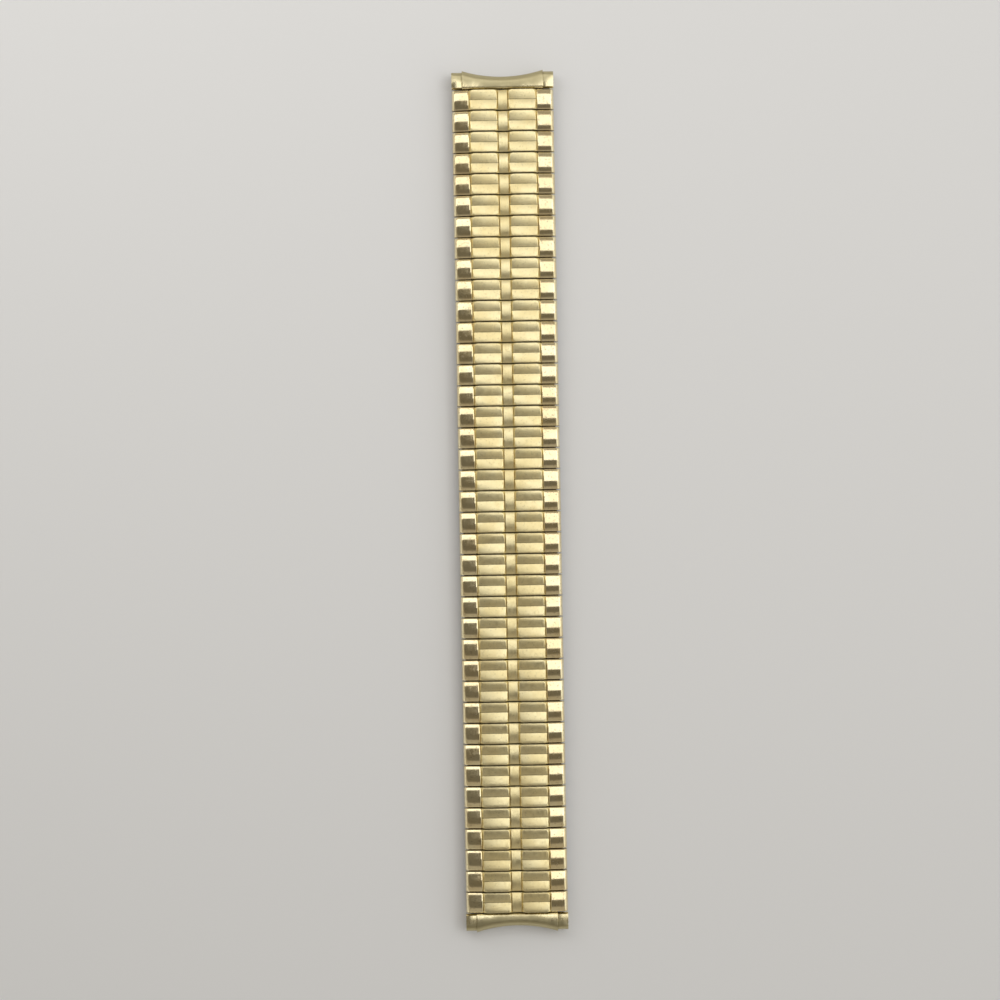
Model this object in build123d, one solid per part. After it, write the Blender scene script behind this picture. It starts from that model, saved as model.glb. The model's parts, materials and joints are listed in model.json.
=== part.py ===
"""An expansion watch band, lying flat and closed.

Two layers of short flat tubes, the links, lie half a pitch apart. U-shaped staples join each
upper link to the lower links under it, and a bowed leaf spring in every tube bears on the
staples' legs. Each upper link carries one gold shell. X runs across the band, Y along it and
Z up, and the origin is the middle of the underside. Sizes are in millimetres.
"""
import math
import os

from build123d import *

# The whole band
band_width = 18.0
row_count = 39
row_pitch = 3.73
row_gap = 0.15

# Every third lower link stands by itself, because the band curls there
curl_every = 3

# The link sleeves, folded from thin sheet, and what moves in them
sleeve_sheet = 0.12
underside_chamfer = 0.15
spring_room = 0.32
leg_play = 0.33
layer_gap = 0.06

# The staples, bent from flat wire
wire_width = 0.30
wire_height = 0.28
leg_reach = 3.0
leg_seat_play = 0.03
web_play = 0.06

# The leaf springs
leaf_thickness = 0.10
leaf_play = 0.02
leaf_side_play = 0.15
leaf_end_inset = 0.30

# The gold shells over the upper links
shell_sheet = 0.12
shell_end_wall = 0.28
shell_skirt = 0.74
shell_roof = 0.11
strip_width = 1.63
brick_width = 5.17
cap_draft = 0.20
cap_arch_radius = 3.58
brick_height = 0.53
brick_end_run = 0.18
groove_depth = 0.36
arch_flat_count = 3

# The spring-bar tubes and the anchors' rolled eyes
bar_bore_radius = 0.80
tube_sheet = 0.12
eye_play = 0.05
eye_sheet = 0.12
eye_half_width = 3.30
eye_end_degrees = 150
anchor_length = 1.70
tube_inner_end = 0.15

# The curved end shells and the side sleeves that telescope in them
end_shell_width = 14.30
end_shell_sheet = 0.18
end_shell_tube_gap = 0.10
end_shell_crest = 2.90
end_shell_inner_round = 0.45
end_wall_bottom = 0.85
case_radius = 24.0
roll_flat_count = 4
side_sleeve_sheet = 0.15
side_sleeve_play = 0.10
side_sleeve_recess = 0.29
side_sleeve_lap = 0.10
side_sleeve_inner_end = 3.60

# How far cutting shapes run past what they cut
overrun = 1.0

# Heights, from the underside up
cavity_height = spring_room + wire_height + leg_play
sleeve_height = cavity_height + 2 * sleeve_sheet
upper_base = sleeve_height + layer_gap
shell_ceiling = upper_base + sleeve_height
shell_bottom = shell_ceiling - shell_skirt
lower_leg_base = sleeve_sheet + spring_room
upper_leg_base = upper_base + sleeve_sheet + leg_play

# Lengths along the band
row_length = row_pitch - row_gap
upper_sleeve_length = row_length - 2 * shell_sheet
lower_leg_offset = row_length / 2 - sleeve_sheet - leg_seat_play - wire_width / 2
leaf_width = upper_sleeve_length - 2 * sleeve_sheet - 2 * leaf_side_play

# Places across the band
half_width = band_width / 2
shell_pocket_half = half_width - shell_end_wall
web_outer = shell_pocket_half - web_play
web_inner = web_outer - wire_height
sleeve_half = web_inner - web_play
leaf_half = sleeve_half - leaf_end_inset
strip_half = strip_width / 2
brick_outer = strip_half + brick_width

# The shells' outlines
half_row = row_length / 2
cap_edge = shell_ceiling + shell_roof
cap_crest = cap_edge + cap_arch_radius - math.sqrt(cap_arch_radius**2 - half_row**2)
brick_top = cap_edge + brick_height
groove_bottom = brick_top - groove_depth

# The ends, worked out at the end where Y is positive
end_row_y = (row_count - 1) / 2 * row_pitch
end_shell_inner = end_row_y + row_pitch / 2 + row_gap / 2
tube_radius = bar_bore_radius + tube_sheet
eye_bore = tube_radius + eye_play
eye_radius = eye_bore + eye_sheet
end_round_inside = eye_radius + eye_play
end_round = end_round_inside + end_shell_sheet
bar_y = end_shell_inner + end_shell_tube_gap + tube_radius
bar_z = end_shell_crest - end_round
end_shell_outer = bar_y + end_round
case_centre = end_shell_outer + case_radius
end_shell_half = end_shell_width / 2
tip_y = case_centre - math.sqrt(case_radius**2 - end_shell_half**2)
side_step = end_shell_sheet + side_sleeve_play
side_top = end_shell_crest - side_step
side_front = tip_y - side_sleeve_recess


def across(outline, x_low, x_high):
    """Runs an outline drawn in Y and Z across the band."""
    plane = Plane(origin=(x_low, 0, 0), x_dir=(0, 1, 0), z_dir=(1, 0, 0))
    return extrude(plane * outline, x_high - x_low)


def along(outline, length):
    """Runs an outline drawn in X and Z along the band, half of it each way."""
    plane = Plane(origin=(0, 0, 0), x_dir=(1, 0, 0), z_dir=(0, -1, 0))
    return extrude(plane * outline, length / 2, both=True)


def polygon(*points):
    """A flat outline with straight sides."""
    return make_face(Polyline(*points, close=True))


def sleeve(length, base, chamfer_size):
    """A flat tube open at both sides of the band, with its lower edges taken off."""
    outer = Pos(0, base + sleeve_height / 2) * Rectangle(length, sleeve_height)
    inner = Pos(0, base + sleeve_height / 2) * Rectangle(length - 2 * sleeve_sheet, cavity_height)
    if chamfer_size > 0:
        outer = chamfer(outer.vertices().group_by(Axis.Y)[0], chamfer_size)
    return across(outer - inner, -sleeve_half, sleeve_half)


def leaf_spring(wall, inward):
    """A bowed strip whose middle bears on a tube's outer wall and whose ends reach the legs."""
    rise = inward * (spring_room - leaf_thickness - leaf_play)
    skin = inward * leaf_thickness
    outline = polygon(
        (-leaf_half, wall + rise),
        (0, wall),
        (leaf_half, wall + rise),
        (leaf_half, wall + rise + skin),
        (0, wall + skin),
        (-leaf_half, wall + rise + skin),
    )
    return along(outline, leaf_width)


def staple(side, y):
    """A U of flat wire: one leg in a lower sleeve, one in an upper sleeve."""
    tip = sleeve_half - leg_reach
    lower_top = lower_leg_base + wire_height
    upper_top = upper_leg_base + wire_height
    outline = polygon(
        (side * tip, lower_leg_base),
        (side * web_outer, lower_leg_base),
        (side * web_outer, upper_top),
        (side * tip, upper_top),
        (side * tip, upper_leg_base),
        (side * web_inner, upper_leg_base),
        (side * web_inner, lower_top),
        (side * tip, lower_top),
    )
    return Pos(0, y, 0) * along(outline, wire_width)


def bow(y_low, y_high, centre_y, centre_z, radius, flats):
    """Points along a convex bow of small flats, from one Y to another."""
    start = math.asin((y_low - centre_y) / radius)
    turn = math.asin((y_high - centre_y) / radius) - start
    angles = [start + turn * step / flats for step in range(flats + 1)]
    return [(centre_y + radius * math.sin(a), centre_z + radius * math.cos(a)) for a in angles]


def shell():
    """One gold shell: arched caps and centre strip, and two bricks grooved at mid-row."""
    feet = [(half_row, shell_bottom), (-half_row, shell_bottom)]
    arch_centre = cap_crest - cap_arch_radius
    arch = polygon(*bow(-half_row, half_row, 0, arch_centre, cap_arch_radius, arch_flat_count), *feet)
    vee = polygon((-half_row, brick_top), (0, groove_bottom), (half_row, brick_top), *feet)
    drafted = polygon(
        (-half_width, shell_bottom),
        (half_width, shell_bottom),
        (half_width - cap_draft, cap_crest),
        (cap_draft - half_width, cap_crest),
    )
    caps = across(arch, -half_width, half_width) & along(drafted, row_length)
    bricks = []
    for side in (-1, 1):
        lane = polygon(
            (side * strip_half, shell_bottom),
            (side * brick_outer, shell_bottom),
            (side * brick_outer, cap_edge),
            (side * (brick_outer - brick_end_run), brick_top),
            (side * (strip_half + brick_end_run), brick_top),
            (side * strip_half, cap_edge),
        )
        low = min(side * strip_half, side * brick_outer)
        groove_cut = across(vee, low, low + brick_width)
        bricks.append(groove_cut & along(lane, row_length))
        trench = Pos(low + brick_width / 2, 0, cap_edge) * Box(
            brick_width, row_pitch, brick_top, align=(Align.CENTER, Align.CENTER, Align.MIN)
        )
        caps -= trench
    pocket = Pos(0, 0, shell_ceiling) * Box(
        2 * shell_pocket_half,
        upper_sleeve_length,
        shell_ceiling,
        align=(Align.CENTER, Align.CENTER, Align.MAX),
    )
    return caps + bricks - pocket


def upper_link():
    """A shell with its sleeve and leaf spring, the row's middle at Y = 0."""
    ceiling = shell_ceiling - sleeve_sheet
    return [shell(), sleeve(upper_sleeve_length, upper_base, 0), leaf_spring(ceiling, -1)]


def lower_link():
    """A lower sleeve with its leaf spring and the four staples that hook into it."""
    pieces = [sleeve(row_length, 0, underside_chamfer), leaf_spring(sleeve_sheet, 1)]
    for side in (-1, 1):
        for y in (-lower_leg_offset, lower_leg_offset):
            pieces.append(staple(side, y))
    return pieces


def end_anchor():
    """The last lower link: a short sleeve with a tongue rolled round the spring-bar tubes."""
    start = end_row_y + row_gap / 2
    middle = start + anchor_length / 2
    body = Pos(0, middle, 0) * sleeve(anchor_length, 0, underside_chamfer)
    tongue_base = bar_z - eye_radius
    tongue = polygon(
        (start + anchor_length - sleeve_sheet, tongue_base),
        (bar_y, tongue_base),
        (bar_y, tongue_base + eye_sheet),
        (start + anchor_length - sleeve_sheet, tongue_base + eye_sheet),
    )
    roll_end = math.radians(eye_end_degrees)
    reach = 2 * eye_radius
    open_side = polygon(
        (bar_y, bar_z),
        (bar_y + reach * math.cos(roll_end), bar_z + reach * math.sin(roll_end)),
        (bar_y - reach, bar_z),
        (bar_y - reach, bar_z - reach),
        (bar_y, bar_z - reach),
    )
    ring = Pos(bar_y, bar_z) * (Circle(eye_radius) - Circle(eye_bore))
    eye = across(tongue + (ring - open_side), -eye_half_width, eye_half_width)
    leg_y = end_row_y + row_pitch / 2 - lower_leg_offset
    leaf_limit = anchor_length - 2 * sleeve_sheet - 2 * leaf_side_play
    leaf = leaf_spring(sleeve_sheet, 1) & Box(band_width, leaf_limit, band_width)
    pieces = [body + eye, Pos(0, middle, 0) * leaf]
    for side in (-1, 1):
        pieces.append(staple(side, leg_y))
    return pieces


def rolled(back, front, inset, bottom):
    """An outline with a flat top that rolls over at the front, drawn in by an inset."""
    top = end_shell_crest - inset
    rounding = end_round - inset
    toward = 1 if front > back else -1
    shoulder = front - toward * rounding
    roll = bow(0, toward * rounding, 0, top - rounding, rounding, roll_flat_count)
    return polygon((back, bottom), (back, top), *[(shoulder + y, z) for y, z in roll], (front, bottom))


def hood(inset, inner_y, bottom, half_length):
    """The space inside a curved end shell, drawn in by an inset from its outside.

    Its outer wall follows the watch case in plan, and its top edge is rolled over.
    """
    back = math.hypot(case_centre - inner_y, half_length) + overrun
    turned = revolve(Plane.XZ * rolled(back, case_radius + inset, inset, bottom), Axis.Z)
    block = polygon(
        (inner_y, bottom),
        (inner_y, end_shell_crest - inset),
        (case_centre, end_shell_crest - inset),
        (case_centre, bottom),
    )
    return across(block, -half_length, half_length) & (Pos(0, case_centre, 0) * turned)


def end_shell():
    """The curved gold end piece, rolled over the spring-bar tubes."""
    inner = end_shell_inner
    low_edge = end_shell_crest - end_shell_inner_round
    outside = hood(0, inner, end_wall_bottom, end_shell_half)
    edge = outside.edges().filter_by(Axis.X).sort_by(Axis.Z)[-2:].sort_by(Axis.Y)[0]
    outside = fillet(edge, end_shell_inner_round)
    inside = hood(
        end_shell_sheet,
        inner + end_shell_sheet,
        end_wall_bottom - overrun,
        end_shell_half + overrun,
    )
    under = Pos(0, inner, low_edge) * Box(
        band_width, 2 * end_shell_sheet, band_width, align=(Align.CENTER, Align.CENTER, Align.MAX)
    )
    return outside - inside - under


def side_sleeve():
    """The right-hand telescoping sleeve, with its spring-bar tube rolled in one.

    Outside the end shell it is as deep as the band's end. Inside the shell only its flat top
    and its tube go on, clear of the shell's curved wall.
    """
    back = end_shell_inner + side_step
    hood_start = end_shell_half - side_sleeve_lap
    under_top = side_top - side_sleeve_sheet
    outside = across(
        rolled(back, side_front, side_step, end_wall_bottom), hood_start, half_width
    )
    inside = across(
        rolled(
            back - overrun,
            side_front - side_sleeve_sheet,
            side_step + side_sleeve_sheet,
            end_wall_bottom - overrun,
        ),
        hood_start - overrun,
        band_width,
    )
    slide = polygon((back, under_top), (back, side_top), (bar_y, side_top), (bar_y, under_top))
    top = across(slide, side_sleeve_inner_end, half_width)
    tube = across(Pos(bar_y, bar_z) * Circle(tube_radius), tube_inner_end, half_width)
    bore = across(Pos(bar_y, bar_z) * Circle(bar_bore_radius), 0, band_width)
    return (outside - inside) + top + tube - bore


def write(name, pieces):
    """Saves one sub-part, its pieces as separate solids."""
    export_step(Compound(children=pieces), os.path.join("parts", name + ".step"))


def moved(pieces, y):
    """Copies of pieces, shifted along the band."""
    return [Pos(0, y, 0) * piece for piece in pieces]


def turned_round(pieces):
    """Copies of one end's pieces, for the other end."""
    return [Rot(0, 0, 180) * piece for piece in pieces]


middle_row = (row_count + 1) // 2
os.makedirs("parts", exist_ok=True)
upper_pieces = upper_link()
lower_pieces = lower_link()
for number in range(1, row_count + 1):
    steps = middle_row - number
    y = steps * row_pitch
    pieces = moved(upper_pieces, y)
    if steps != 0:
        outward = 1 if steps > 0 else -1
        link_y = y - outward * row_pitch / 2
        link = moved(lower_pieces, link_y)
        if (abs(steps) + 1) % curl_every == 0:
            first, second = sorted((number, number + outward))
            write(f"lower_link_{first:02d}_{second:02d}", link)
        else:
            pieces += link
    write(f"link_{number:02d}", pieces)

anchor_pieces = end_anchor()
end_shell_piece = [end_shell()]
right_sleeve = [side_sleeve()]
left_sleeve = [mirror(piece, Plane.YZ) for piece in right_sleeve]
write("end_anchor_top", anchor_pieces)
write("end_shell_top", end_shell_piece)
write("lug_sleeve_top_right", right_sleeve)
write("lug_sleeve_top_left", left_sleeve)
write("end_anchor_bottom", turned_round(anchor_pieces))
write("end_shell_bottom", turned_round(end_shell_piece))
write("lug_sleeve_bottom_left", turned_round(right_sleeve))
write("lug_sleeve_bottom_right", turned_round(left_sleeve))
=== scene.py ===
# %% [markdown]
# # A stretch watch band in brushed and polished gold
#
# The band lies flat and closed. Thirty-nine gold shells sit on thirty-nine flat tubes, a second
# layer of tubes lies half a step along below them, and small staples hook the two layers
# together. The solids already have the right size and place. Here each real piece gets its
# rounded edges, its brushed or polished skin, and the soft light that metal needs.
#
# Small metalwork is easiest to draw in millimetres, so every piece is modelled with one unit
# to the millimetre and shrunk to metres at the very end. That also keeps Blender's small
# default distances well below the real details.

# %% Load the fixed frame
import json
import math

import bmesh
import bpy
from mathutils import Matrix, Vector

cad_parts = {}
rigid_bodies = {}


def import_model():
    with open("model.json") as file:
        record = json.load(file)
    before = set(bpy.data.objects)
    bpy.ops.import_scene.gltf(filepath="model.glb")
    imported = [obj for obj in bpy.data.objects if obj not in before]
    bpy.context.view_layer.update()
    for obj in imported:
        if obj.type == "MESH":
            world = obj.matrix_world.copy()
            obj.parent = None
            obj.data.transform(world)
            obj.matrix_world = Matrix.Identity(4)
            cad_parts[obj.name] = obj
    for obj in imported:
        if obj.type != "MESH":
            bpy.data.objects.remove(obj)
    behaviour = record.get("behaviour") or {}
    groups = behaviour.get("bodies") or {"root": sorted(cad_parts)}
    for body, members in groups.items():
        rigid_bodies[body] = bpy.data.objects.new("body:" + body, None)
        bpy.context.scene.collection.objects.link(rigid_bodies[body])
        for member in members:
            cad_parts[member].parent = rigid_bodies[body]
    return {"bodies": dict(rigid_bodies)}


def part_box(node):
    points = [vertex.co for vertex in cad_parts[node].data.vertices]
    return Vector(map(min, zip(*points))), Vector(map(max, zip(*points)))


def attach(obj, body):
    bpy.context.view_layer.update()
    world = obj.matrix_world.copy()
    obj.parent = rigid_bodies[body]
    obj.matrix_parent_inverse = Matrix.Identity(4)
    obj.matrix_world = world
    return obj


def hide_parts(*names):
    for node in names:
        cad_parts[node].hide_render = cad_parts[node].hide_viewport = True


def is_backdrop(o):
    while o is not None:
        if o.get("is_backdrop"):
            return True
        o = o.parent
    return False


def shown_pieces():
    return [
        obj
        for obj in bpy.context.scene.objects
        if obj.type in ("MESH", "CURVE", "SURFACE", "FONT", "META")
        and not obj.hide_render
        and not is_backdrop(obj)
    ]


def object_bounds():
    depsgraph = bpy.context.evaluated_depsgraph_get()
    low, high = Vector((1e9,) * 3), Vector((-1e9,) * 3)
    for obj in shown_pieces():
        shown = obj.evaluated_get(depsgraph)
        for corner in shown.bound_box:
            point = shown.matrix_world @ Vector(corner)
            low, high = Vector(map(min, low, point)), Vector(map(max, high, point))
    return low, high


for leftover in list(bpy.data.objects):
    bpy.data.objects.remove(leftover)
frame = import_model()
cad_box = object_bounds()
bpy.ops.object.select_all(action="DESELECT")

# %% [markdown]
# ## Sizes
#
# These are the band's own sizes in millimetres. They are read from the frame, so the drawing
# can't drift away from it. The rows lie one pitch apart, and each is a little shorter than that,
# which leaves the thin gaps between them.

# %% The sizes of a row
MM = 0.001
low_corner, high_corner = (Vector(corner) / MM for corner in cad_box)
band_width = high_corner.x - low_corner.x
half_width = band_width / 2
row_low, row_high = (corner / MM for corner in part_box("link_20"))
row_length = row_high.y - row_low.y
half_row = row_length / 2
row_pitch = (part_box("link_03")[1].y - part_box("link_06")[1].y) / MM / (6 - 3)
print("width", round(band_width, 3), "row", round(row_length, 3), "pitch", round(row_pitch, 3))

# %% [markdown]
# ## One gold shell
#
# On the real band a shell is pressed from one strip of sheet. It has a polished arched cap at
# each side, two satin bricks with a V groove across the middle of the row, and a narrow satin
# strip between them. It could be five bars side by side, but then light would leak between
# them. Here it is one block: its top face is cut into lanes, and the corners of each lane are
# lifted to that lane's own profile, as a press tool would do.
#
# A cap starts with a small tight round at its inner edge and then falls slowly outwards. Each of
# its lanes is a distance from the middle and a drop below the crest. Underneath, a pocket takes
# the upper tube. Its roof is narrower, to stay inside the rounded caps.

# %% Lanes across the shell
shell_bottom = 1.66
shell_edge = 2.51
strip_edge = 0.80
strip_foot = 0.84
brick_inner = 1.16
brick_outer = 5.66
cap_foot = 5.96
cap_start = 6.00
inner_round = 0.13
round_turns = (66, 44, 22, 0)
crown_places = (6.24, 6.90, 7.60, 8.20, half_width)
crown_lean = 0.15
crown_bend = 0.09

cap_lanes = {}
for degrees in round_turns:
    turn = math.radians(degrees)
    across = cap_start + inner_round * (math.sin(math.radians(round_turns[0])) - math.sin(turn))
    cap_lanes[across] = inner_round * (1 - math.cos(turn))
crown_start = max(cap_lanes)
for across in crown_places:
    share = (across - crown_start) / (half_width - crown_start)
    cap_lanes[across] = crown_lean * share + crown_bend * share**2
print("cap lanes", [round(across, 2) for across in cap_lanes])

# %% Profiles along a row
slice_places = [0.0, 0.4, 0.8, 1.2, 1.57]
brick_top = row_high.z
foot_rise = 0.04
foot_height = shell_edge + foot_rise
cap_arch_radius = 3.58
groove_depth = 0.36
flank_bulge = 0.075
corner_radius = 0.48


def arch_height(y):
    """The height of a cap or the strip: one round arch over the row."""
    crest = shell_edge + cap_arch_radius - math.sqrt(cap_arch_radius**2 - half_row**2)
    return crest - cap_arch_radius + math.sqrt(cap_arch_radius**2 - y**2)


def brick_height(y):
    """The height of a brick: a slightly bowed flank that falls to the groove."""
    share = abs(y) / half_row
    return brick_top - groove_depth * (1 - share) + 4 * flank_bulge * share * (1 - share)


def corner_run(y):
    """How far a brick's side edge draws in near its ends, for round corners."""
    inside = max(0, corner_radius - (half_row - abs(y)))
    return corner_radius - math.sqrt(corner_radius**2 - inside**2)


for y in slice_places:
    print("at", y, "arch", round(arch_height(y), 3), "brick", round(brick_height(y), 3))

# %% [markdown]
# Operators act on whatever is selected, so each step picks its corners, edges or faces by where
# they are. `pick` is the hand that does it: it takes a small test and selects what passes.
# `exactly` and `about` say how near a place has to be, in millimetres, and `squarely` how
# straight a face has to look along an axis.

# %% Start from a block
def only(piece):
    """Selects one piece and nothing else."""
    if bpy.context.object and bpy.context.object.mode != "OBJECT":
        bpy.ops.object.mode_set(mode="OBJECT")
    bpy.ops.object.select_all(action="DESELECT")
    piece.select_set(True)
    bpy.context.view_layer.objects.active = piece


def start(name, size=(1, 1, 1)):
    """Names the primitive that was just added, fixes its size and opens it for editing."""
    piece = bpy.context.object
    piece.name = piece.data.name = name
    piece.scale = size
    only(piece)
    bpy.ops.object.transform_apply(location=True, rotation=True, scale=True)
    bpy.ops.object.mode_set(mode="EDIT")
    return piece


def tell(piece, state):
    """Prints how much mesh a piece that is open for editing has."""
    mesh = bmesh.from_edit_mesh(piece.data)
    print(piece.name, state + ":", len(mesh.verts), "corners,", len(mesh.faces), "faces")


block_height = shell_edge - shell_bottom
bpy.ops.mesh.primitive_cube_add(size=1, location=(0, 0, shell_bottom + block_height / 2))
shell_draft = start("shell", (band_width, row_length, block_height))
tell(shell_draft, "as a block")

# %% Press the pocket
shell_wall = 0.12
shell_skirt = 0.74
pocket_side_wall = 0.28
pocket_half = half_width - pocket_side_wall
pocket_top_half = 8.38
pocket_round = 0.15
exactly = 0.001
about = 0.01
squarely = 0.9


def pick(piece, kind, test):
    """Selects the corners, edges or faces that pass a test, and returns how many there are."""
    bpy.ops.mesh.select_mode(type=kind)
    bpy.ops.mesh.select_all(action="DESELECT")
    mesh = bmesh.from_edit_mesh(piece.data)
    items = {"VERT": mesh.verts, "EDGE": mesh.edges, "FACE": mesh.faces}[kind]
    chosen = [item for item in items if test(item)]
    for item in chosen:
        item.select_set(True)
    bmesh.update_edit_mesh(piece.data)
    return len(chosen)


def near(a, b, play=exactly):
    """True if two lengths are the same."""
    return abs(a - b) < play


def ends(edge):
    """Where the two corners of an edge are."""
    return [corner.co for corner in edge.verts]


def lies_across(edge):
    """True for an edge that lies along X, across the band."""
    a, b = ends(edge)
    return near(a.y, b.y) and near(a.z, b.z)


def extrude(x, y, z):
    """Draws what is selected out by a step."""
    bpy.ops.mesh.extrude_region_move(TRANSFORM_OT_translate={"value": (x, y, z)})


def narrow(share):
    """Narrows what is selected across the band."""
    bpy.ops.transform.resize(value=(share, 1, 1), center_override=(0, 0, 0))


pick(shell_draft, "FACE", lambda face: face.normal.z < -squarely)
bpy.ops.mesh.inset(thickness=shell_wall)
narrow(pocket_half / (half_width - shell_wall))
extrude(0, 0, shell_skirt)
narrow(pocket_top_half / pocket_half)
pocket_roof = shell_bottom + shell_skirt
pick(shell_draft, "EDGE", lambda edge: lies_across(edge) and near(ends(edge)[0].z, pocket_roof))
bpy.ops.mesh.bevel(offset=pocket_round, segments=2)
tell(shell_draft, "with its pocket")

# %% Cut the top into lanes
def cut(piece, test, point, normal):
    """Cuts the faces that pass a test along a plane."""
    pick(piece, "FACE", test)
    bpy.ops.mesh.bisect(plane_co=point, plane_no=normal)


def on_top(face):
    """True for the faces of the block's flat top."""
    return face.normal.z > squarely and near(face.calc_center_median().z, shell_edge)


for side in (-1, 1):
    for x in (strip_edge, strip_foot, brick_inner, brick_outer, cap_foot, *cap_lanes):
        if x < half_width:
            cut(shell_draft, on_top, (side * x, 0, 0), (1, 0, 0))
for y in [-y for y in reversed(slice_places[1:])] + slice_places:
    cut(shell_draft, on_top, (0, y, 0), (0, 1, 0))
tell(shell_draft, "cut into lanes")

# %% [markdown]
# A brick's side edges lean out to its foot, and `run` moves them: outwards where the brick is
# low, so that the slope stays even, and inwards at its ends, where the corners are round.

# %% Lift the lanes
def shift(piece, test, step):
    """Moves the corners that pass a test."""
    if pick(piece, "VERT", lambda corner: test(corner.co)):
        bpy.ops.transform.translate(value=step)


lifts = [
    (0, strip_edge, arch_height, 0),
    (strip_foot, strip_foot, lambda y: foot_height, 0),
    (brick_inner, brick_inner, brick_height, -1),
    (brick_outer, brick_outer, brick_height, 1),
    (cap_foot, cap_foot, lambda y: foot_height, 0),
]
for x, drop in cap_lanes.items():
    lifts.append((x, x, lambda y, drop=drop: arch_height(y) - drop, 0))
run_share = (brick_inner - strip_foot) / (brick_top - foot_height)
for x_low, x_high, profile, lean in lifts:
    for y in slice_places + [half_row]:
        rise = profile(y) - shell_edge
        run = lean * (run_share * (brick_top - profile(y)) - corner_run(y))
        for side in (-1, 1):
            shift(
                shell_draft,
                lambda at: (
                    near(at.z, shell_edge)
                    and near(abs(at.y), y, about)
                    and x_low - about < side * at.x < x_high + about
                ),
                (side * run, 0, rise),
            )
tell(shell_draft, "with its lanes lifted")

# %% [markdown]
# The press leaves no knife edges. The caps' outer walls lean in a little, their long edges are
# well rounded, and the front and back edges of a row have a small round that catches a bright
# line of light. A bevel of a few steps is enough, because smooth shading does the rest.

# %% Lean the end walls in
cap_draft = 0.20
cap_crest = arch_height(0)
crown_fall = crown_lean + crown_bend

for side in (-1, 1):
    for y in slice_places + [half_row]:
        height = arch_height(y) - crown_fall
        lean = cap_draft * (height - shell_bottom) / (cap_crest - shell_bottom)
        shift(
            shell_draft,
            lambda at: (
                side * at.x > half_width - about
                and near(abs(at.y), y, about)
                and near(at.z, height, about)
            ),
            (-side * lean, 0, 0),
        )
print("outer walls lean in by up to", cap_draft)

# %% Round the shell's edges
cap_bevel = {"offset": 0.50, "segments": 5, "profile": 0.52}
brick_bevel = {"offset": 0.14, "segments": 3, "profile": 0.5}
row_end_bevel = {"offset": 0.15, "segments": 2, "profile": 0.6}
well_above = 0.05
longer_than = 0.1


def along_cap(edge):
    """True for the long outer edge of a cap."""
    a, b = ends(edge)
    outer = min(abs(a.x), abs(b.x)) > half_width - cap_draft - 2 * about
    return outer and min(a.z, b.z) > shell_edge - crown_fall - about


def beside_a_brick(edge):
    """True for the two side edges of a brick, with their drawn-in ends."""
    a, b = ends(edge)
    return abs(a.y - b.y) > longer_than and all(
        at.z > foot_height + well_above
        and (
            strip_foot + about < abs(at.x) < brick_inner + corner_radius + about
            or brick_outer - corner_radius - about < abs(at.x) < cap_foot - about
        )
        for at in (a, b)
    )


def at_the_row_end(edge):
    """True for the upper edges of the row's front and back walls."""
    a, b = ends(edge)
    on_end = near(abs(a.y), half_row) and near(abs(b.y), half_row) and near(a.y, b.y)
    return on_end and max(a.z, b.z) > shell_bottom + well_above


bevels = ((along_cap, cap_bevel), (beside_a_brick, brick_bevel), (at_the_row_end, row_end_bevel))
for edges, bevel in bevels:
    found = pick(shell_draft, "EDGE", edges)
    bpy.ops.mesh.bevel(**bevel)
    print(edges.__name__, found, "edges")
tell(shell_draft, "rounded")

# %% [markdown]
# The caps are polished and the bricks and the strip are satin, so each face gets the number of
# its finish. A map with the place of each point on its row goes along with the shell: the painted
# shade and dirt will follow it, wherever the row lies in the band.

# %% Name the finishes of the lanes
on_the_caps, on_the_bricks, on_the_strip = 0, 1, 2


def finish(piece, smooth_degrees=30):
    """Closes the edit, smooths gentle bends and shrinks the piece to metres."""
    only(piece)
    bpy.ops.object.shade_smooth_by_angle(angle=math.radians(smooth_degrees))
    piece.scale = (MM, MM, MM)
    bpy.ops.object.transform_apply(scale=True)
    print(piece.name, len(piece.data.polygons), "faces")
    return piece


only(shell_draft)
for face in shell_draft.data.polygons:
    across = abs(face.center.x)
    if across > cap_start - 2 * about:
        face.material_index = on_the_caps
    elif across < strip_foot - 2 * about:
        face.material_index = on_the_strip
    else:
        face.material_index = on_the_bricks
row_map = shell_draft.data.uv_layers.new(name="row_place")
for loop in shell_draft.data.loops:
    at = shell_draft.data.vertices[loop.vertex_index].co
    row_map.data[loop.index].uv = (at.x / half_width, at.y / half_row)
finish(shell_draft, smooth_degrees=28)

# %% [markdown]
# ## The flat tubes
#
# Each link is a short length of sheet folded into a flat tube, open at both sides of the band.
# A block with its two end faces taken away, its long edges rounded and a wall given by the
# Solidify modifier is just that. The upper tubes hide under the shells. The lower ones lie half
# a row further on and are what one sees from below.

# %% Fold a tube
sheet = 0.12
tube_height = 1.17
tube_half = 8.32
upper_tube_base = 1.23
upper_tube_length = row_length - 2 * shell_wall
fold_radius = 0.16


def modify(piece, kind, **settings):
    """Adds a modifier with its settings and applies it."""
    only(piece)
    modifier = piece.modifiers.new(kind.title(), kind)
    for name, value in settings.items():
        setattr(modifier, name, value)
    bpy.ops.object.modifier_apply(modifier=modifier.name)


def make_tube(name, length, base):
    """A flat tube of sheet, open at both sides."""
    bpy.ops.mesh.primitive_cube_add(size=1, location=(0, 0, base + tube_height / 2))
    tube = start(name, (2 * tube_half, length, tube_height))
    pick(tube, "FACE", lambda face: abs(face.normal.x) > squarely)
    bpy.ops.mesh.delete(type="ONLY_FACE")
    pick(tube, "EDGE", lies_across)
    bpy.ops.mesh.bevel(offset=fold_radius, segments=3)
    modify(tube, "SOLIDIFY", thickness=sheet, offset=-1)
    return finish(tube)


upper_tube = make_tube("upper_tube", upper_tube_length, upper_tube_base)
lower_tube = make_tube("lower_tube", row_length, 0)

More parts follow.
